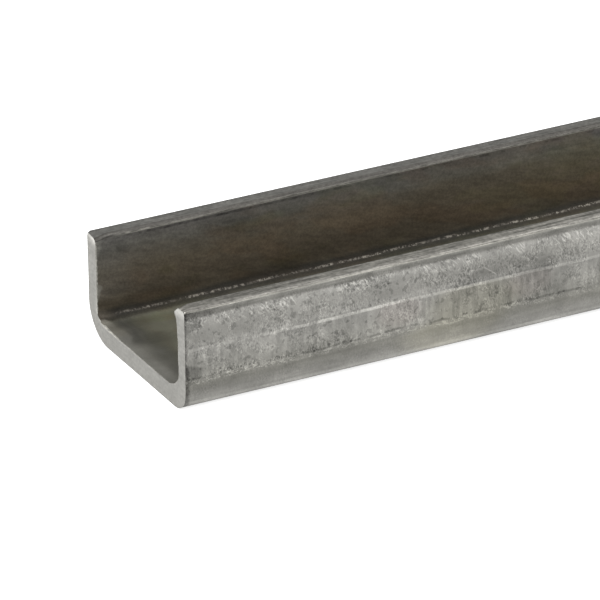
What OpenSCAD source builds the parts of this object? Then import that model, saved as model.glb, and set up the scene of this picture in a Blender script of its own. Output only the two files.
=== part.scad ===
// Steel u-channel: one length of channel formed from a single strip of hot-rolled steel.
// It lies on its web with both flanges up. The origin is under the middle of the web,
// +X runs along the length, +Y points across the web to the rounder bend, and +Z is up.

/* [Channel] */
// Length of the piece, between its two sawn ends
length = 304.8; // [60:0.1:3000]
// Width across the outside of both flanges
web_w = 38.1; // [24:0.1:120]
// Height of the flanges, from the underside of the web to their tips
flange_h = 20; // [14:0.1:60]
// Wall of the strip that the channel is formed from
wall = 3.175; // [1.6:0.025:6]

/* [Bends] */
// Inside radius of both bends, about the same as the wall
bend_r_in = 3.2; // [0.4:0.1:4]
// Outside radius of the rounder bend, on the +Y side
round_bend_r_out = 7.5; // [3:0.1:9]
// Outside radius of the tighter bend, on the -Y side
tight_bend_r_out = 4.4; // [3:0.1:9]
// Least wall left in the middle of a bend, as a share of the wall
bend_wall_share = 0.6; // [0.5:0.05:1]

/* [Flange tips] */
// Radius of the strip's mill edge on the inside of each flange tip
tip_r_in = 0.7; // [0.2:0.05:0.7]
// Radius of the strip's mill edge on the outside of each flange tip
tip_r_out = 0.5; // [0.1:0.05:0.7]

/* [Hidden] */
$fn = 96;

// How far a cutting shape runs past the edge that it rounds
overrun = 1;

// Largest outside radius that leaves bend_wall_share of the wall in the middle of a bend
bend_r_limit = bend_r_in + wall * (sqrt(2) - bend_wall_share) / (sqrt(2) - 1);

// The waste outside a quarter circle of radius r, for a corner at the origin
// whose two edges run along +X and +Y
module corner_waste(r) {
    difference() {
        translate([-overrun, -overrun]) square(r + overrun);
        translate([r, r]) circle(r);
    }
}

// The metal that fills an inside corner at the origin with a quarter circle of radius r
module corner_fill(r) {
    difference() {
        translate([-wall / 2, -wall / 2]) square(r + wall / 2);
        translate([r, r]) circle(r);
    }
}

// Half of the section, from the middle of the web to one flange tip.
// The flange's outer face stands on x = 0 and the web runs along +X.
module half_section(bend_r_out) {
    difference() {
        union() {
            square([web_w / 2, wall]);
            square([wall, flange_h]);
            translate([wall, wall]) corner_fill(bend_r_in);
        }
        corner_waste(min(bend_r_out, bend_r_limit));
        translate([0, flange_h]) mirror([0, 1]) corner_waste(tip_r_out);
        translate([wall, flange_h]) rotate(180) corner_waste(tip_r_in);
    }
}

// The channel's section, drawn with the width along X and the height along Y
module section() {
    translate([-web_w / 2, 0]) half_section(tight_bend_r_out);
    translate([web_w / 2, 0]) mirror([1, 0]) half_section(round_bend_r_out);
}

// The whole piece: the section run along its length
module u_channel() {
    color([0.57, 0.56, 0.53])
        translate([-length / 2, 0, 0])
            rotate([90, 0, 90])
                linear_extrude(length) section();
}

u_channel();
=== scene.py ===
import bpy
import bmesh
from math import exp, radians, sqrt
from mathutils import Euler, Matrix, Quaternion, Vector, noise


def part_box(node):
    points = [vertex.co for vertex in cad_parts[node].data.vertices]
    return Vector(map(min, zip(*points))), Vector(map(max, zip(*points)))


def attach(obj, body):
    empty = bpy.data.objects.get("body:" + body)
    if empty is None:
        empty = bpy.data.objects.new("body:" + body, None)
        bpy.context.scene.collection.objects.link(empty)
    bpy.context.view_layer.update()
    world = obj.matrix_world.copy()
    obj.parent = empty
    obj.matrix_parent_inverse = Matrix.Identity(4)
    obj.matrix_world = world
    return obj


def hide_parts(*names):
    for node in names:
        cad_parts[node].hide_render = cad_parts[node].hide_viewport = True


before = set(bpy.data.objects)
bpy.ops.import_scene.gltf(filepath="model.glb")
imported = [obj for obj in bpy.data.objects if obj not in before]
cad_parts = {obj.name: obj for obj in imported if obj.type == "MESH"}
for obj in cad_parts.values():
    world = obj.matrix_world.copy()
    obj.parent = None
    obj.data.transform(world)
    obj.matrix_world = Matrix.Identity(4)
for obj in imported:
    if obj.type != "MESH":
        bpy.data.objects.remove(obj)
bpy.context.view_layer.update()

# ---------------------------------------------------------------------------
# The channel: one length of U section, formed cold from a single strip of
# hot-rolled steel and sawn square at both ends. Web, bends and flanges are the
# same strip, so there is nothing to fix: only its skin changes from place to place.
# ---------------------------------------------------------------------------
mm = 0.001
low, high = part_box("u_channel")
half_long = (high.x - low.x) / 2
half_wide = (high.y - low.y) / 2
tall = high.z
wall = 3.175 * mm
bay_half = half_wide - wall

bend_inside = 3.2 * mm
bend_outside = {-1: 4.4 * mm, 1: 7.5 * mm}  # the forming rolls left one bend rounder
tip_outside, tip_inside = 0.5 * mm, 0.7 * mm
to_cut = half_long / mm  # from the middle of the length to a sawn end, in millimetres
OUTER, INSIDE, TIP, SAWN = range(4)  # the four finishes of the skin


def ease(value, start, end):
    """0 before start and 1 after end, with a smooth climb between."""
    t = min(1.0, max(0.0, (value - start) / (end - start)))
    return t * t * (3 - 2 * t)


def wander(x, wave, lane):
    """How far a rolled line strays at x, from -1 to 1. Each lane strays its own way."""
    return noise.noise(Vector((x / wave, lane * 7.3, lane * 1.9)))


strip = bmesh.new()
outline = [
    (-half_wide, 0), (half_wide, 0), (half_wide, tall), (bay_half, tall),
    (bay_half, wall), (-bay_half, wall), (-bay_half, tall), (-half_wide, tall),
]
sawn_face = strip.faces.new([strip.verts.new((low.x, y, z)) for y, z in outline])
drawn = bmesh.ops.extrude_face_region(strip, geom=[sawn_face])
bmesh.ops.translate(
    strip,
    vec=(high.x - low.x, 0, 0),
    verts=[v for v in drawn["geom"] if isinstance(v, bmesh.types.BMVert)],
)
bmesh.ops.recalc_face_normals(strip, faces=strip.faces)


def round_corner(y, z, radius, segments):
    """Rounds the long corner at y, z."""
    corner = [
        e for e in strip.edges
        if all(abs(v.co.y - y) < 1e-6 and abs(v.co.z - z) < 1e-6 for v in e.verts)
    ]
    bmesh.ops.bevel(
        strip, geom=corner, offset=radius, offset_type="OFFSET",
        segments=segments, profile=0.5, affect="EDGES", material=-1,
    )


for side in (-1, 1):
    round_corner(side * half_wide, 0, bend_outside[side], 10 if side < 0 else 14)
    round_corner(side * bay_half, wall, bend_inside, 8)
    round_corner(side * half_wide, tall, tip_outside, 3)
    round_corner(side * bay_half, tall, tip_inside, 4)

for face in strip.faces:
    middle = face.calc_center_median()
    if abs(face.normal.x) > 0.9:
        face.material_index = SAWN
    elif middle.z > tall - tip_inside - 1e-5:
        face.material_index = TIP
    elif abs(middle.y) < bay_half + 1e-5 and middle.z > wall - 1e-5:
        face.material_index = INSIDE
    face.smooth = abs(face.normal.x) < 0.9


def score(places, along, finish=None):
    """Cuts a straight row of edges at each place, round the whole strip or in one finish."""
    for place in places:
        faces = [f for f in strip.faces if finish is None or f.material_index == finish]
        geometry = {g for f in faces for g in (f, *f.edges, *f.verts)}
        bmesh.ops.bisect_plane(
            strip, geom=list(geometry), dist=1e-8,
            plane_co=Vector(along) * place * mm, plane_no=along,
        )


score([4.6 + 0.8 * row for row in range(19)], (0, 0, 1))
score([6.2, 6.6, 7.4, 11.4, 11.7, 12.3, 12.9, 18.1, 18.35, 18.6, 18.85], (0, 0, 1), OUTER)
score([17.8, 18.6], (0, 0, 1), INSIDE)
score([-11.2 + 1.6 * row for row in range(15)], (0, 1, 0))
for end in (-1, 1):
    score([end * (to_cut - back) for back in (0.12, 0.28, 0.55)], (1, 0, 0))
ends = [f for f in strip.faces if f.material_index == SAWN]
bmesh.ops.inset_region(
    strip, faces=ends, thickness=0.25 * mm, use_boundary=True, use_even_offset=True
)
long_edges = [e for e in strip.edges if abs(e.verts[0].co.x - e.verts[1].co.x) > half_long]
bmesh.ops.subdivide_edges(strip, edges=long_edges, cuts=420, use_grid_fill=True)

# The rolls left lines that stray a little along the length. Each line's distance is kept
# on the mesh, so that the finish and the shape follow the same line. From here on, sizes and
# places are in millimetres: y from the middle of the web, z from the floor.
crease = strip.verts.layers.float.new("above_crease")
foot = strip.verts.layers.float.new("above_foot")
lip = strip.verts.layers.float.new("above_lip")
gouge = strip.verts.layers.float.new("from_gouge")
burr_and_highlight = strip.verts.layers.float.new("burr_and_highlight")
before_cut = strip.verts.layers.float.new("height_before_cut")

bend_y = (bay_half - bend_inside) / mm  # the middle of the inside bend's curve
bend_z = (wall + bend_inside) / mm

strip.normal_update()
moves = []
for v in strip.verts:
    x, y, z = v.co / mm
    side = 1 if y > 0 else -1
    skins = {f.material_index for f in v.link_faces}
    at_end = SAWN in skins
    out = Vector((0, v.normal.y, v.normal.z)).normalized() if at_end else v.normal.copy()
    inner = INSIDE in skins or (TIP in skins and abs(y) < 16.7)
    inner_half = inner or (
        skins == {SAWN} and abs(y) < 17.4 and z > 1.6 and (z > 8 or y - z < 12.75)
    )
    from_cut = to_cut - abs(x)

    v[crease] = z - (12.25 + 0.36 * wander(x, 17, side) + 0.12 * wander(x, 4.3, side + 3))
    v[foot] = z - (6.7 + 0.42 * wander(x, 10, side + 6) + 0.2 * wander(x, 2.4, side + 9))
    v[lip] = z - (18.45 + 0.12 * wander(x, 8, side + 12) + 0.05 * wander(x, 1.7, side + 15))
    v[gouge] = 9.0
    v[burr_and_highlight] = 0.0
    v[before_cut] = z

    roll = noise.noise(Vector((x / 19, y / 9, z / 9)))
    dint = noise.noise(Vector((x / 2.6, y / 2.6, z / 2.6)))
    pock = noise.noise(Vector((x / 1.1, y / 1.1, z / 1.1)))
    if inner:
        lift = 0.03 * roll + 0.008 * dint
        if side > 0 and z < 8 and abs(y) > 11:
            round_bend = ((y - bend_y) - (bend_z - z)) / sqrt(2)  # 0 half-way round the bend
            v[gouge] = round_bend - 0.55
            v[gouge] += 0.2 * wander(x, 9, 21) + 0.09 * wander(x, 1.5, 22)
            near = exp(-(v[gouge] / 0.45) ** 2) * ease(from_cut, 3, 5)
            lift += near * (0.05 * pock - 0.03)
    else:
        rubbed = ease(v[foot], -0.3, 0.35) * (1 - ease(v[lip], -0.12, 0.12))
        lift = -0.03 + 0.022 * rubbed + 0.012 * roll
        lift += rubbed * (0.012 * dint + 0.008 * pock - 0.008 * max(0, v[crease]))
        lift += 0.04 * rubbed * exp(-(v[crease] / 0.3) ** 2)
        if side > 0:
            lift *= 1 - ease(z, 17.5, 19)
        lift = min(lift, -0.004)
        if side < 0 and skins != {SAWN}:
            lift += 0.16 * exp(-(((z - 1.8) / 0.8) ** 2))  # the tighter bend is sharpest here
    shift = out * lift

    # The strip isn't quite the same thickness all the way across: the front flange is
    # thinner above its bend, and the other a little hollow on its outside.
    if side < 0 and inner_half:
        shift.y -= 0.5 * ease(z, 4.4, 6.6) * (1 - ease(z, 11.5, 18.8))
    elif side > 0 and not inner_half:
        shift.y -= 0.14 * ease(z, 5, 8) * (1 - ease(z, 12, 17))

    # The saw left the inner edge of the web standing up, knocked down the inner corners of
    # the tips and pushed a bead out below the front one.
    if inner_half:
        raised = 1 - ease(from_cut, 0, 1.8)
        shift.z += 0.36 * raised * (1 - ease(z, 3.7, 6.4))
        if side < 0:
            shift.z += 0.26 * raised * exp(-(((y + 13.8) / 0.9) ** 2)) * (1 - ease(z, 4, 5))
        else:
            shift.y += 0.22 * raised * ease(z, 3.9, 4.6) * (1 - ease(z, 5.6, 7.4))
            shift.z += 0.16 * raised * exp(-(((y - 12.6) / 0.8) ** 2)) * (1 - ease(z, 4, 5))
    if side < 0:
        drop = (0.08 + 0.6 * ease(abs(y), 17.1, 16.1)) * ease(z, 18.3, 19.5)
        shift.z -= drop * (1 - ease(from_cut, 0, 2.2))
    else:
        drop = 0.52 * ease(abs(y), 18.6, 16.2) * ease(z, 18.4, 19.6)
        shift.z -= drop * (1 - ease(from_cut, 0, 2.8))
    height = z + shift.z
    if side < 0 and inner_half:
        bead = exp(-(((height - 18.2) / 0.6) ** 2)) * (1 - ease(from_cut, 0, 0.9))
        shift.y += bead * (0.8 + 0.3 * pock)

    # A thin burr stands over the inner edges, and the outer edges are a little broken.
    # The burr value also carries a painted highlight, brightest at the tips.
    if from_cut < 1.2:
        fade = 1 - ease(from_cut, 0, 0.5 if inner or z > 18.5 else 0.13)
        if inner:
            ragged = 0.5 + 0.8 * noise.noise(Vector((y / 1.4, z / 1.4, side + x)))
            shift += out * max(0.0, 0.07 * ragged) * fade
            v[burr_and_highlight] = 0.07 + 0.23 * ragged + 0.27 * ease(y, 5, 11) * (1 - ease(z, 3.4, 4))
        else:
            shift -= out * (0.03 + 0.25 * exp(-(((z - 20) / 0.8) ** 2))) * fade
        if side < 0:
            # Painted highlights on the sawn ends of the tips: on the front tip's upper edge, and at
            # the back tip's inner corner and along its top.
            tip_light = 0.35 * ease(height, 17.8, 18.5) + 0.45 * ease(height, 18.6, 19.2)
        else:
            corner = exp(-(((height - 18.75) / 0.5) ** 2)) * ease(abs(y), 17.4, 16.6)
            tip_light = corner + 0.55 * ease(height, 18.9, 19.3)
        v[burr_and_highlight] = fade * min(1.0, max(v[burr_and_highlight], tip_light * (0.85 + 0.6 * pock)))
    if at_end:
        # The cut is a little out of square, and its burr stands proud of it.
        proud = 0.03 * v[burr_and_highlight] if inner else 0.0
        lean = 0.5 - y / (2 * half_wide / mm)
        back = 0.035 + 0.14 * lean - proud + 0.004 * pock
        shift.x -= (1 if x > 0 else -1) * back
    moves.append(shift * mm)
for v, move in zip(strip.verts, moves):
    v.co += move
    v.co.y = min(half_wide, max(-half_wide, v.co.y))
    v.co.z = min(tall, max(0.0, v.co.z))

channel_mesh = bpy.data.meshes.new("steel_channel")
strip.to_mesh(channel_mesh)
strip.free()
channel = bpy.data.objects.new("steel_channel", channel_mesh)
bpy.context.scene.collection.objects.link(channel)


class Finish:
    """A steel finish built up from patterns, all laid out in millimetres on the piece."""

    def __init__(self, name, metal, rim):
        self.material = bpy.data.materials.new(name)
        self.material.use_nodes = True
        self.tree = self.material.node_tree
        self.steel = self.tree.nodes["Principled BSDF"]
        self.steel.inputs["Metallic"].default_value = metal
        self.steel.inputs["Specular Tint"].default_value = (rim, rim, rim, 1)
        place = self.add("TexCoord", out="Object")
        self.place = self.add("VectorMath", place, (1000, 1000, 1000), operation="MULTIPLY")
        apart = self.add("SeparateXYZ", self.place, out=None)
        self.x, self.y, self.z = apart.outputs
        self.along = self.sum("ADD", self.x, to_cut)  # from the near sawn end
        self.from_cut = self.sum("SUBTRACT", to_cut, self.sum("ABSOLUTE", self.x))

    def add(self, kind, *values, out=0, **settings):
        made = self.tree.nodes.new("ShaderNode" + kind)
        for name, setting in settings.items():
            setattr(made, name, setting)
        for socket, value in zip(made.inputs, values):
            self.join(value, socket)
        return made if out is None else made.outputs[out]

    def join(self, value, socket):
        if isinstance(value, bpy.types.NodeSocket):
            self.tree.links.new(value, socket)
        elif value is not None:
            socket.default_value = value

    def sum(self, what, *values):
        return self.add("Math", *values, operation=what)

    def line(self, name):
        """The distance, kept on the mesh, from one of the rolled lines."""
        return self.add("Attribute", attribute_name=name, out="Fac")

    def cloud(self, grain, stretch=(1, 1, 1), detail=3.0, rough=0.55, turn=0, seed=0.0, swirl=0):
        """Random tone from 0 to 1, with spots about one grain (mm) across."""
        where = self.place
        if turn:
            where = self.add(
                "VectorRotate", where, (0, 0, 0), None, radians(turn), rotation_type="Y_AXIS"
            )
        fit = [s / grain for s in stretch]
        where = self.add("VectorMath", where, fit, (seed, seed * 0.7, seed * 1.3),
                         operation="MULTIPLY_ADD")
        made = self.add("TexNoise", where, out=None)
        for name, value in (("Scale", 1.0), ("Detail", detail), ("Roughness", rough),
                            ("Distortion", swirl)):
            made.inputs[name].default_value = value
        return self.climb(made.outputs["Fac"], 0.34, 0.66)  # the noise seldom goes past these

    def climb(self, value, start, end, low=0.0, high=1.0):
        """low before start and high after end, with a smooth climb between."""
        return self.add("MapRange", value, start, end, low, high,
                        interpolation_type="SMOOTHSTEP")

    def stripe(self, value, middle, half, soft):
        """1 within half of middle, fading to 0 over soft."""
        away = self.sum("ABSOLUTE", self.sum("SUBTRACT", value, middle))
        return self.climb(away, half + soft, half)

    def oval(self, along, height, long, high, turn=0):
        """1 in an oval spot on the face of a flange, along from the near end, fading out."""
        middle = (along - to_cut, 0, height)
        where = self.place
        if turn:
            where = self.add(
                "VectorRotate", where, middle, None, radians(turn), rotation_type="Y_AXIS"
            )
        where = self.add(
            "VectorMath", where, (1 / long, 0, 1 / high),
            (-middle[0] / long, 0, -height / high), operation="MULTIPLY_ADD",
        )
        return self.climb(self.add("VectorMath", where, operation="LENGTH", out=1), 1.0, 0.45)

    def times(self, *values):
        total = values[0]
        for value in values[1:]:
            total = self.sum("MULTIPLY", total, value)
        return total

    def plus(self, *values):
        total = values[0]
        for value in values[1:]:
            total = self.sum("ADD", total, value)
        return total

    def swing(self, tone, amount):
        """A tone from 0 to 1 as a change of plus or minus amount."""
        return self.sum("MULTIPLY_ADD", tone, 2 * amount, -amount)

    def bands(self, value, top, *stops):
        """Colours up the height, from 0 to top millimetres."""
        ramp = self.add("ValToRGB", self.sum("DIVIDE", value, top), out=None)
        steps = ramp.color_ramp.elements
        while len(steps) < len(stops):
            steps.new(0.5)
        for step, (height, colour) in zip(steps, stops):
            step.position = height / top
            step.color = (*seen(*colour), 1)
        return ramp.outputs["Color"]

    def blend(self, share, under, over):
        return self.add("Mix", share, None, None, None, None, None, under, over,
                        data_type="RGBA", out=2)

    def stain(self, colour, share, film):
        """Pulls the red, green and blue of a colour a little, as a thin film does."""
        film = self.blend(share, (1, 1, 1, 1), (*film, 1))
        return self.add("VectorMath", colour, film, operation="MULTIPLY")

    def lay(self, colour, tone, roughness, relief, deep):
        """Puts the colour, lightened or darkened by the tone, on the steel with its relief."""
        light = self.sum("POWER", tone, 2.0)  # an even step for the eye
        self.join(self.add("VectorMath", colour, None, None, light, operation="SCALE"),
                  self.steel.inputs["Base Color"])
        self.join(roughness, self.steel.inputs["Roughness"])
        bump = self.add("Bump", out=None)
        bump.inputs["Strength"].default_value = 1.0
        bump.inputs["Distance"].default_value = deep * mm
        self.join(relief, bump.inputs["Height"])
        self.join(bump.outputs["Normal"], self.steel.inputs["Normal"])


def seen(*colour):
    """A colour given as it looks, 0 to 255, as the amount of light it sends back."""
    return tuple(
        (c / 255 / 12.92) if c < 10.3 else ((c / 255 + 0.055) / 1.055) ** 2.4 for c in colour
    )


# Outside: mill skin, smooth on the web and bends and scuffed rough on the flanges
# between the bend and the mill edge.
outer = Finish("scuffed_mill_skin", metal=1.0, rim=0.45)
f = outer
above_crease, above_foot, above_lip = map(f.line, ("above_crease", "above_foot", "above_lip"))
ragged_foot = f.plus(above_foot, f.swing(f.cloud(1.6, detail=4, rough=0.7, seed=5), 0.4))
ragged_lip = f.plus(above_lip, f.swing(f.cloud(1.1, (1, 0.2, 0.2), detail=3, seed=6), 0.2))
rubbed = f.times(f.climb(ragged_foot, -0.1, 0.15), f.climb(ragged_lip, 0.1, -0.1))
smooth = f.sum("SUBTRACT", 1.0, rubbed)
lower = f.climb(above_crease, 0.2, -0.4)
calm = f.sum(
    "MAXIMUM",
    f.climb(f.cloud(5, (1, 0.9, 0.9), detail=2, seed=47), 0.75, 1.0),
    f.plus(
        f.oval(39, 14.6, 2.4, 1.1), f.oval(58, 14.3, 2.3, 1.2), f.oval(70.6, 14.5, 1.7, 1.1),
    ),
)
near = f.climb(f.along, 26, 18)
at_foot = f.times(
    f.stripe(above_foot, 0.0, 0.5, 0.6), f.plus(near, f.climb(f.cloud(3, seed=51), 0.4, 0.9))
)
patchy = f.climb(f.cloud(3.4, (0.8, 1, 1), detail=2, seed=61), 0.15, 0.85, -0.38, 0.38)
worn = f.plus(1.18, patchy, f.times(calm, -0.9), f.times(lower, -0.4), f.times(at_foot, 0.7))
fine = f.cloud(0.36, (1.25, 0.95, 0.95), detail=1, rough=0.6)
curl = f.cloud(1.2, (1.6, 0.9, 0.9), detail=2, rough=0.55, turn=12, seed=4, swirl=2.4)
arcs = f.cloud(2.4, (1.7, 0.8, 0.8), detail=2, rough=0.5, seed=25, swirl=1.8)
glint = f.times(f.stripe(arcs, 0.5, 0.02, 0.15), f.climb(f.cloud(1.6, detail=1, seed=21), 0.3, 0.8))
blotch = f.cloud(4.5, (0.7, 1, 1), detail=2, seed=9)
drag = f.cloud(0.9, (0.07, 1, 1), detail=3, rough=0.6, seed=29)
streak = f.cloud(3.2, (3, 0.5, 0.5), detail=4, rough=0.6, seed=11)
slant = f.cloud(1.3, (3.4, 0.8, 0.8), detail=2, rough=0.5, turn=35, seed=2, swirl=0.5)
dash = f.climb(slant, 0.68, 0.9)
slanted = f.climb(f.cloud(7, (1, 0.3, 0.3), detail=1, seed=43), 0.3, 0.8)
upper_strip = f.stripe(above_lip, -1.0, 0.7, 0.9)
scratch = f.oval(60.2, 14.2, 2.4, 0.16, turn=-38)
# A bright line along the crease is a painted highlight of its ridge, stronger along the middle of the
# length; a thin dark line just above it is painted shade.
crease_strength = f.plus(0.3, f.times(f.climb(f.along, 15, 23), 0.7), f.times(f.climb(f.along, 60, 68), -0.5))
crease_line = f.times(
    f.stripe(above_crease, 0, 0.16, 0.24),
    f.climb(f.cloud(9, (1, 0.2, 0.2), detail=4, rough=0.7, seed=14), -0.5, 0.5), crease_strength,
)
crease_dark = f.times(
    f.stripe(above_crease, 0.5, 0.05, 0.2), f.climb(f.cloud(5, (1, 0.2, 0.2), seed=15), 0.4, 0.8)
)
foot_dash = f.times(
    f.stripe(above_foot, -0.35, 0.3, 0.35),
    f.climb(f.cloud(1.0, (1.2, 1.4, 1.4), detail=3, rough=0.6, seed=17, swirl=1.5), 0.5, 0.9),
)
curls = f.times(
    f.stripe(above_foot, -0.15, 0.5, 0.4), near,
    f.climb(f.cloud(1.5, (1.3, 1.1, 1.1), detail=3, rough=0.6, seed=57, swirl=1.8), 0.5, 0.9),
)
foot_dark = f.times(
    f.stripe(above_foot, 0.28, 0.1, 0.26),
    f.climb(f.cloud(1.6, (0.7, 0.5, 0.5), detail=3, rough=0.7, seed=19), 0.1, 0.8),
)
pit = f.climb(f.cloud(1.1, detail=1, rough=0.6, seed=23), 0.05, 0.0)
# Stretches along the flange that are lighter, and darker ones.
lighter_stretches = f.plus(
    f.times(f.oval(26, 16.5, 8, 5.5), 0.085), f.times(f.oval(20, 9.5, 6, 2.5), 0.06),
    f.times(f.oval(42, 10, 9, 9), 0.075), f.times(f.oval(50, 4, 8, 3.5), 0.09),
    f.times(f.oval(34.5, 8, 3, 3), 0.06), f.times(f.oval(67, 16.8, 5, 2.2), 0.05),
    f.times(f.oval(58, 4.8, 3.5, 2.5), 0.06), f.times(f.oval(14, 15.5, 3, 2.5), 0.05),
    f.times(f.oval(84, 16.2, 11, 5), 0.14), f.times(f.oval(83, 4.2, 9, 2.6), 0.08),
    f.times(f.oval(77, 7.5, 2.6, 2.2), 0.07),
)
darker_stretches = f.plus(
    f.times(f.oval(63, 11, 13, 6.5, turn=-8), 0.095), f.times(f.oval(71.5, 13, 2.6, 1.8), 0.09),
    f.times(f.oval(71, 7, 6, 4), 0.05), f.times(f.oval(52, 9, 4, 2.5), 0.05),
    f.times(f.oval(36, 17.6, 5, 2), 0.07), f.times(f.oval(84, 9, 4, 2.5), 0.05),
    f.times(f.oval(28.5, 5.5, 6, 4.5), 0.08), f.times(f.oval(10, 4.5, 9, 4.5), 0.04),
    f.times(f.oval(37, 9.6, 2.8, 2.2), 0.06),
)
# The skin's colour up the height, with thin stains over its lower strip. The outer bend is made
# lighter low down, a painted reflection of the white floor, and darker again at the very bottom as
# painted shade.
skin = f.bands(
    f.z, 20,
    (0.0, (122, 121, 117)), (1.1, (150, 149, 145)), (1.8, (147, 146, 142)), (2.5, (121, 120, 116)),
    (3.5, (115, 114, 110)), (5.2, (103, 102, 97)), (6.0, (107, 106, 101)), (7.2, (119, 118, 113)),
    (11.5, (121, 120, 116)), (12.9, (123, 122, 118)), (14.0, (115, 114, 110)), (16.5, (120, 119, 115)),
    (17.7, (130, 129, 125)), (18.1, (127, 126, 122)), (18.4, (106, 105, 101)),
    (18.7, (99, 98, 94)), (19.2, (104, 103, 99)), (19.35, (115, 114, 109)), (19.5, (136, 135, 129)),
)
low_strip = f.climb(above_crease, 0.6, -0.6)
far = f.times(
    f.climb(f.cloud(24, (0.8, 1.4, 1.4), detail=2, seed=3), 0.5, 0.9), f.climb(f.along, 80, 95)
)
olive = f.plus(f.oval(57, 9, 12, 6), f.oval(52, 4, 13, 4), far)
skin = f.stain(skin, f.times(olive, low_strip), (1.0, 0.99, 0.93))
pink = f.plus(f.oval(42, 10.5, 6, 4), f.oval(68, 10.5, 6, 4))
skin = f.stain(skin, f.times(pink, low_strip), (1.015, 0.985, 0.985))
# The skin is darker at the cut, over a wider strip at the foot and near the top.
shaded = f.plus(
    0.3, f.times(f.climb(f.z, 9.8, 8.2), f.climb(f.z, 5.0, 6.5), 3.2),
    f.times(f.climb(f.z, 15.0, 17.0), 3.2), f.times(f.climb(f.z, 18.0, 18.6), 1.5),
)
in_band = f.stripe(f.z, 18.85, 0.45, 0.3)
band_lines = f.cloud(0.5, (0.09, 1, 1), detail=2, rough=0.6, seed=38)
cut_line = f.times(
    f.climb(
        f.plus(f.from_cut, f.swing(f.cloud(1.3, seed=32), 0.15), f.times(f.climb(f.z, 9.5, 8), -0.4)),
        0.75, 0.2,
    ),
    f.plus(1.0, f.times(f.stripe(f.z, 14.8, 2.5, 1.5), -0.45)),
)
cut_shade = f.climb(
    f.plus(f.from_cut, f.swing(f.cloud(2.0, seed=31), 0.5), f.times(shaded, -1)), 0.8, -0.6
)
tone = f.plus(
    1.0,
    f.times(f.swing(fine, 0.07), f.sum("MULTIPLY_ADD", rubbed, 0.3, 0.7), worn),
    f.times(f.swing(curl, 0.085), rubbed, worn), f.times(f.swing(curl, 0.03), smooth),
    f.times(glint, rubbed, worn, 0.13),
    f.swing(blotch, 0.05), lighter_stretches, f.times(darker_stretches, -1),
    f.times(f.swing(drag, 0.033), f.sum("MULTIPLY_ADD", smooth, 0.8, 0.2)),
    f.times(f.swing(streak, 0.076), rubbed, f.sum("MULTIPLY_ADD", lower, 0.8, 0.2)),
    f.times(dash, rubbed, slanted, f.sum("MULTIPLY_ADD", upper_strip, 0.175, 0.045)),
    f.times(scratch, 0.2),
    f.times(crease_line, 0.31),
    f.times(crease_dark, -0.04),
    f.times(foot_dash, f.plus(0.22, f.times(near, 0.04))), f.times(curls, 0.16),
    f.times(foot_dark, f.plus(-0.18, f.times(near, 0.06))),
    f.times(pit, rubbed, f.climb(f.along, 50, 60, -0.15, -0.08)),
    f.times(cut_shade, -0.17),
    f.times(cut_line, -0.24),
    f.times(f.climb(f.z, 19.1, 19.35), f.climb(f.from_cut, 2.2, 1.2), -0.22),
    f.times(f.plus(f.swing(band_lines, 0.06), f.swing(blotch, 0.05)), in_band),
)
relief = f.plus(
    f.times(f.plus(fine, curl, glint), f.sum("MULTIPLY_ADD", rubbed, 0.85, 0.15), worn),
    f.times(dash, rubbed, 0.5),
    f.times(streak, rubbed, 0.4),
    f.times(crease_line, 0.6),
    f.sum("SUBTRACT", f.plus(foot_dash, curls), foot_dark),
    f.times(pit, rubbed, -0.8),
)
roughness = f.plus(0.40, f.times(rubbed, 0.10), f.swing(fine, 0.06))
f.lay(skin, tone, roughness, relief, 0.010)

# Inside: the strip's dark mill scale, left whole by the rolls and greyer towards the tips.
inside = Finish("dark_mill_scale", metal=0.3, rim=0.35)
f = inside
slant = f.cloud(1.1, (0.25, 1, 1), detail=3, rough=0.6, turn=-16, seed=1)
mottle = f.cloud(5, (0.35, 1, 1), detail=3, turn=-6, seed=8)
drag = f.cloud(0.8, (0.05, 1, 1), detail=3, seed=12)
fine = f.cloud(0.45, detail=2, rough=0.7, seed=3)
gouge = f.times(
    f.stripe(f.line("from_gouge"), 0, 0.07, 0.25),
    f.climb(f.cloud(0.7, (1.3, 1, 1), detail=3, rough=0.7, turn=40, seed=5), 0.2, 0.95),
    f.climb(f.cloud(3.5, (1, 0.2, 0.2), detail=2, seed=15), -0.4, 0.7),
    f.climb(f.from_cut, 2.2, 7),
)
# Up the height the scale is darkest in the inside bends, painted shade of the corner, and lighter
# higher up the flanges.
scale = f.bands(
    f.plus(f.z, f.times(f.swing(f.cloud(6, (0.3, 1, 1), seed=12), 0.6), f.climb(f.z, 4, 7))), 20,
    (3.3, (86, 84, 76)), (3.6, (71, 69, 61)), (3.85, (47, 45, 38)), (4.1, (37, 35, 29)),
    (4.4, (37, 34, 29)), (5.2, (34, 32, 27)),
    (6.0, (56, 51, 42)), (7.5, (64, 58, 48)), (10.0, (72, 65, 54)), (13.0, (74, 68, 57)),
    (15.0, (74, 69, 59)), (16.5, (80, 77, 69)),
    (19.0, (79, 76, 71)),
)
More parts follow.
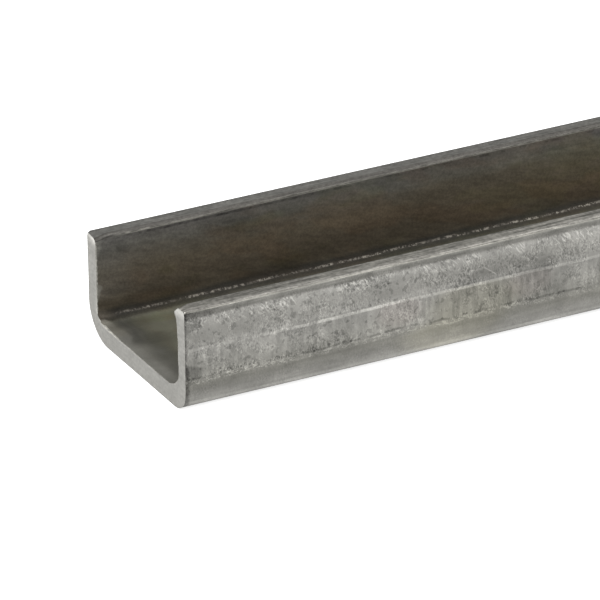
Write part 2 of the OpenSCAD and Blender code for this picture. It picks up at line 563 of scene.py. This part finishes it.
# The web is pale right at the cut, darkest some 5 mm in, and olive beyond.
on_web = f.climb(f.z, 4.6, 3.4)
on_flange = f.climb(f.z, 6.5, 9)
scale = f.blend(f.times(f.climb(f.from_cut, 14, 1), on_flange, 0.4), scale, (*seen(86, 84, 78), 1))
strayed = f.plus(f.from_cut, f.swing(f.cloud(4, (1, 0.6, 1), detail=1, seed=33), 0.6))
near_cut = f.bands(
    strayed, 16,
    (0.8, (112, 111, 105)), (1.6, (107, 106, 100)), (2.6, (96, 95, 89)), (3.6, (85, 84, 78)),
    (4.5, (77, 76, 70)), (5.5, (73, 72, 65)), (6.6, (74, 73, 64)), (7.6, (79, 77, 67)),
    (9.0, (88, 87, 76)), (11.0, (94, 93, 81)), (13.0, (92, 90, 79)), (16.0, (84, 82, 76)),
)
flat = f.climb(f.plus(f.z, f.climb(f.from_cut, 0.6, 2.4, -0.55, 0.0)), 3.8, 3.35)
scale = f.blend(flat, scale, near_cut)
# Near the cut the painted shade in the inside bend is lighter.
near_bend = f.times(f.climb(f.from_cut, 4, 0.5), f.climb(f.z, 3.6, 4.4), f.climb(f.z, 6.6, 4.6), 0.26)
scale = f.blend(near_bend, scale, (*seen(98, 92, 83), 1))
tarnish = f.times(f.climb(f.y, 7, 11), f.climb(f.from_cut, 5, 2), f.climb(f.z, 7, 5))
scale = f.stain(scale, tarnish, (1.01, 0.98, 0.93))
# A thin film, brown in places and greenish in others, and greyer scale high on the flanges.
filmed = f.climb(f.from_cut, 5, 10)
brown = f.climb(f.cloud(6, (0.4, 1, 1), detail=3, turn=-8, seed=41), 0.4, 0.9)
green = f.climb(f.cloud(6, (0.4, 1, 1), detail=3, seed=44), 0.5, 0.95)
scale = f.stain(scale, f.times(brown, filmed), (1.04, 0.975, 0.93))
scale = f.stain(scale, f.times(green, filmed), (0.985, 1.01, 0.93))
grey = f.times(f.climb(f.z, 12.2, 15.0), f.sum("SUBTRACT", 1.0, f.stripe(f.along, 78, 8, 12)))
scale = f.stain(scale, grey, (0.975, 1.0, 1.06))
# The burr's bright rim at the cut with a painted glint on it, the scraped line in the bend, and the
# line under the tip, a painted highlight of its edge.
rim = f.plus(
    f.from_cut, f.swing(f.cloud(0.8, detail=2, seed=35), 0.08),
    f.times(f.climb(f.y, 6, 12), f.climb(f.y, 14.2, 13.3), on_web, -0.3),
    f.times(f.climb(f.y, 13.4, 14.2), f.climb(f.z, 6, 5), 0.2),
)
scale = f.blend(f.climb(rim, 0.42, 0.2), scale, (*seen(160, 159, 153), 1))
glow = f.climb(f.cloud(1.5, detail=3, rough=0.6, seed=36), 0.2, 0.8)
glow = f.times(glow, f.climb(f.y, 13.4, 14.4, 1.0, 0.45))
scale = f.blend(f.times(f.climb(rim, 0.22, 0.1), glow), scale, (*seen(196, 193, 184), 1))
scale = f.blend(f.times(gouge, 0.62), scale, (*seen(126, 121, 112), 1))
height = f.line("height_before_cut")
edge_line = f.times(
    f.climb(height, 19.16, 19.28), f.climb(f.from_cut, 2.5, 7),
    f.climb(f.cloud(1.8, (0.5, 1, 1), detail=3, seed=52), 0.0, 0.8, 0.55, 1.0),
)
scale = f.blend(edge_line, scale, (*seen(132, 130, 122), 1))
under_edge = f.times(
    f.stripe(height, 18.85, 0.1, 0.22), f.climb(f.from_cut, 3, 5), on_flange,
    f.plus(
        f.climb(f.cloud(1.3, (0.8, 1, 1), detail=2, seed=54), 0.5, 0.9),
        f.times(f.stripe(f.along, 24, 10, 6), 0.8),
    ),
)
scale = f.blend(
    f.times(f.climb(strayed, 1.1, 0.4), on_flange, 0.5), scale, (*seen(108, 107, 101), 1)
)
shadow = f.times(
    f.climb(f.y, 3, 6), f.stripe(strayed, 3.4, 2.0, 1.5), on_web, f.climb(f.y, 5, 9, -0.06, -0.09)
)
lit = f.times(f.climb(f.y, 5, 3), f.stripe(strayed, 3.4, 0.6, 1.2), on_web, 0.035)
patch = f.cloud(5, (0.7, 0.9, 1), detail=1, seed=22)
tone = f.plus(
    1.0,
    f.times(
        f.plus(f.swing(slant, 0.06), f.swing(fine, 0.065)),
        f.plus(1.0, f.times(f.climb(f.z, 3.8, 3.3), -0.75)),
    ),
    f.times(f.swing(mottle, 0.045), f.plus(1.0, f.times(on_web, -0.6))),
    f.times(f.swing(patch, 0.03), on_web),
    shadow, lit, f.times(under_edge, -0.2),
    # More painted shadow on the web, a few millimetres in from the cut.
    f.times(f.climb(f.y, 4, 7), f.stripe(strayed, 3.5, 0.5, 0.9), on_web, -0.12),
    f.times(f.swing(drag, 0.03), f.climb(f.z, 12, 16)),
    f.times(f.oval(52, 14.5, 20, 4.5), 0.10), f.times(f.stripe(f.along, 110, 20, 20), 0.11),
    f.times(f.oval(3, 16, 4.5, 2.2), -0.12), f.times(f.oval(5, 9, 5, 1.6), -0.14),
)
relief = f.plus(f.times(slant, 0.5), fine, f.times(gouge, 1.5))
f.lay(scale, tone, f.plus(0.48, f.swing(mottle, 0.05), f.times(gouge, -0.05)), relief, 0.006)

# Tips: the strip's own mill edges, drawn lengthwise by the edging rolls.
tips = Finish("mill_edge", metal=1.0, rim=0.35)
f = tips
draw = f.cloud(0.42, (0.04, 1, 1), detail=3, rough=0.65, seed=2)
fine = f.cloud(0.45, (0.7, 1, 1), detail=2, seed=7)
worn = f.cloud(2.2, (0.8, 1, 1), detail=3, rough=0.6, seed=27)
front = f.climb(f.y, 1, -1)
back = f.climb(f.y, -1, 1)
height = f.line("height_before_cut")
outermost = f.sum("ABSOLUTE", f.y)
# A painted highlight along the front tip's outer corner.
outer_corner_highlight = f.times(
    f.climb(outermost, 18.6, 18.85), f.climb(height, 19.72, 19.58),
    f.climb(f.plus(f.from_cut, f.swing(f.cloud(2, seed=18), 0.6)), 1.0, 2.0),
    f.climb(f.cloud(1.5, (0.5, 1, 1), detail=3, seed=9), 0.0, 0.8), front,
)
# The back tip is darker than the front one. Where both turn over to the inside, painted shade darkens
# the rounding, below a thin painted highlight along its foot.
edge = f.blend(front, (*seen(131, 130, 126), 1), (*seen(142, 140, 134), 1))
turned = f.bands(
    height, 20,
    (19.3, (120, 118, 112)), (19.5, (121, 119, 113)), (19.58, (94, 92, 88)), (19.7, (76, 74, 71)),
    (19.8, (79, 77, 74)), (19.87, (99, 97, 93)), (19.95, (108, 106, 102)),
)
turned = f.blend(f.climb(f.from_cut, 7, 3), turned, (*seen(97, 95, 91), 1))
edge = f.blend(f.climb(outermost, 16.6, 16.4), edge, turned)
rolled_over = f.bands(
    height, 20, (19.5, (138, 136, 130)), (19.62, (127, 125, 119)), (19.75, (122, 120, 115)),
    (19.9, (129, 127, 122)), (20.0, (147, 145, 139)),
)
edge = f.blend(f.times(f.climb(outermost, 17.95, 18.4), front), edge, rolled_over)
# A painted highlight along the foot of the tips' inner rounding.
inner_edge_highlight = f.times(
    f.climb(height, 19.58, 19.48), f.climb(f.cloud(1.2, (0.5, 1, 1), detail=3, seed=13), 0.0, 0.8),
    f.climb(f.from_cut, 3, 6), f.climb(f.from_cut, 8, 14, 1.0, 0.35),
)
# Lighter and darker stretches along the tips.
stretches_along = f.plus(
    f.times(f.stripe(f.along, 52, 2, 4), 0.07), f.times(f.stripe(f.along, 76, 2, 3), 0.07),
    f.times(f.stripe(f.along, 20, 3, 5), -0.08), f.times(f.stripe(f.along, 84, 3, 4), -0.09),
    f.times(f.stripe(f.along, 42, 3, 4), f.climb(outermost, 16.8, 17.8, 0.05, -0.06)),
    f.times(f.stripe(f.along, 32, 2, 3), f.climb(outermost, 17.4, 18.2, -0.05, 0.06)),
)
tone = f.plus(
    1.0,
    f.times(
        f.swing(draw, 0.17), f.sum("MULTIPLY_ADD", front, 0.7, 0.3),
        f.climb(f.from_cut, 2, 10, 0.5, 1.0),
    ),
    f.times(f.swing(fine, 0.09), f.sum("MULTIPLY_ADD", front, 0.35, 0.65)),
    f.times(f.swing(worn, 0.05), f.sum("MULTIPLY_ADD", front, 0.3, 0.7)),
    f.times(outer_corner_highlight, 0.10), f.times(inner_edge_highlight, 0.7),
    f.times(f.stripe(outermost, 17.55, 0.25, 0.3), front, -0.045),
    f.times(f.climb(outermost, 17.1, 16.6), front, 0.03),
    f.times(f.stripe(outermost, 18.6, 0.25, 0.25), front, 0.055),
    f.times(f.stripe(outermost, 17.95, 0.1, 0.25), front, f.climb(f.from_cut, 14, 8, -0.03, -0.10)),
    f.times(f.stripe(outermost, 17.1, 0.2, 0.25), front, 0.05),
    # A painted highlight just behind the front tip's sawn end.
    f.times(f.stripe(outermost, 17.3, 0.25, 0.35), front, f.climb(f.from_cut, 1.5, 0.8), 0.24),
    f.times(back, f.climb(f.from_cut, 4, 1.5), f.climb(outermost, 18.2, 16.4, -0.06, -0.12)),
    f.times(back, f.stripe(outermost, 16.85, 0.15, 0.25), -0.04),
    f.times(
        f.climb(f.from_cut, 5, 3), f.climb(outermost, 18.3, 18.7), f.climb(height, 19.72, 19.9),
        front, -0.22,
    ),
    f.times(f.climb(f.from_cut, 1.5, 0.6), f.climb(outermost, 18.85, 19.0), -0.25),
    f.times(f.climb(f.from_cut, 22, 15), f.climb(outermost, 18.8, 19.0), front, -0.13),
    f.times(stretches_along, front),
)
f.lay(edge, tone, f.plus(0.45, f.swing(fine, 0.05)), f.plus(draw, f.times(fine, 0.4)), 0.010)

# Sawn ends: bare bright steel with faint saw lines and a burr along the inner edges, lightened by a
# painted highlight on the burr and at the tips.
sawn = Finish("sawn_end", metal=1.0, rim=0.35)
f = sawn
lines = f.cloud(0.5, (1, 0.08, 1), detail=4, rough=0.6, seed=3)
fine = f.cloud(0.6, detail=3, seed=6)
cloudy = f.cloud(3, seed=8)
tone = f.plus(
    1.0, f.swing(lines, 0.026), f.swing(fine, 0.045), f.swing(cloudy, 0.014),
    f.times(f.line("burr_and_highlight"), 0.45),
)
roughness = f.plus(0.42, f.swing(fine, 0.03))
f.lay(seen(153, 152, 148), tone, roughness, f.plus(lines, f.times(fine, 0.5)), 0.005)

for finish in (outer, inside, tips, sawn):
    channel_mesh.materials.append(finish.material)
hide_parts("u_channel")
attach(channel, "root")

# ---------------------------------------------------------------------------
# The studio: a plain white light table, lit softly and evenly from above as well.
# ---------------------------------------------------------------------------
floor_mesh = bpy.data.meshes.new("floor")
sheet = bmesh.new()
bmesh.ops.create_grid(sheet, x_segments=1, y_segments=1, size=30)
sheet.to_mesh(floor_mesh)
sheet.free()
floor = bpy.data.objects.new("floor", floor_mesh)
bpy.context.scene.collection.objects.link(floor)
white = bpy.data.materials.new("white_floor")
white.use_nodes = True
for name, value in (
    ("Base Color", (0.6, 0.6, 0.6, 1)), ("Roughness", 0.9), ("Specular IOR Level", 0.1),
    ("Emission Color", (1, 1, 1, 1)), ("Emission Strength", 0.75),
):
    white.node_tree.nodes["Principled BSDF"].inputs[name].default_value = value
floor_mesh.materials.append(white)

world = bpy.data.worlds.new("pale_room")
world.use_nodes = True
world.node_tree.nodes["Background"].inputs["Color"].default_value = (1, 1, 1, 1)
world.node_tree.nodes["Background"].inputs["Strength"].default_value = 0.85
bpy.context.scene.world = world


def soft_light(name, place, aim, width, watts):
    lamp = bpy.data.lights.new(name, "AREA")
    lamp.shape = "DISK"
    lamp.size = width
    lamp.energy = watts
    hung = bpy.data.objects.new(name, lamp)
    hung.location = place
    hung.rotation_mode = "QUATERNION"
    hung.rotation_quaternion = (Vector(place) - Vector(aim)).to_track_quat("Z", "Y")
    hung.visible_camera = False
    bpy.context.scene.collection.objects.link(hung)


near_end = Vector((low.x, 0, 0))
soft_light("key", (-1.6, -1.4, 2.2), near_end, width=1.6, watts=90)
soft_light("fill", (1.8, -1.6, 1.6), near_end, width=1.6, watts=30)

# A long lens just over a metre from the near end, looking down and along the channel.
look_down, look_along, roll = 25.3517, 27.2534, 0.6  # degrees
camera_data = bpy.data.cameras.new("camera")
camera_data.lens = 407.92
camera_data.sensor_width = 36
camera_data.clip_start = 0.05
camera_data.clip_end = 60
camera = bpy.data.objects.new("camera", camera_data)
camera.location = near_end + Vector((-0.46445, -0.96435, 0.52094))
camera.rotation_mode = "QUATERNION"
level = Euler((radians(90 - look_down), 0, radians(-look_along))).to_quaternion()
camera.rotation_quaternion = level @ Quaternion((0, 0, 1), radians(-roll))
bpy.context.scene.collection.objects.link(camera)
bpy.context.scene.camera = camera
bpy.context.scene.view_settings.view_transform = "Standard"
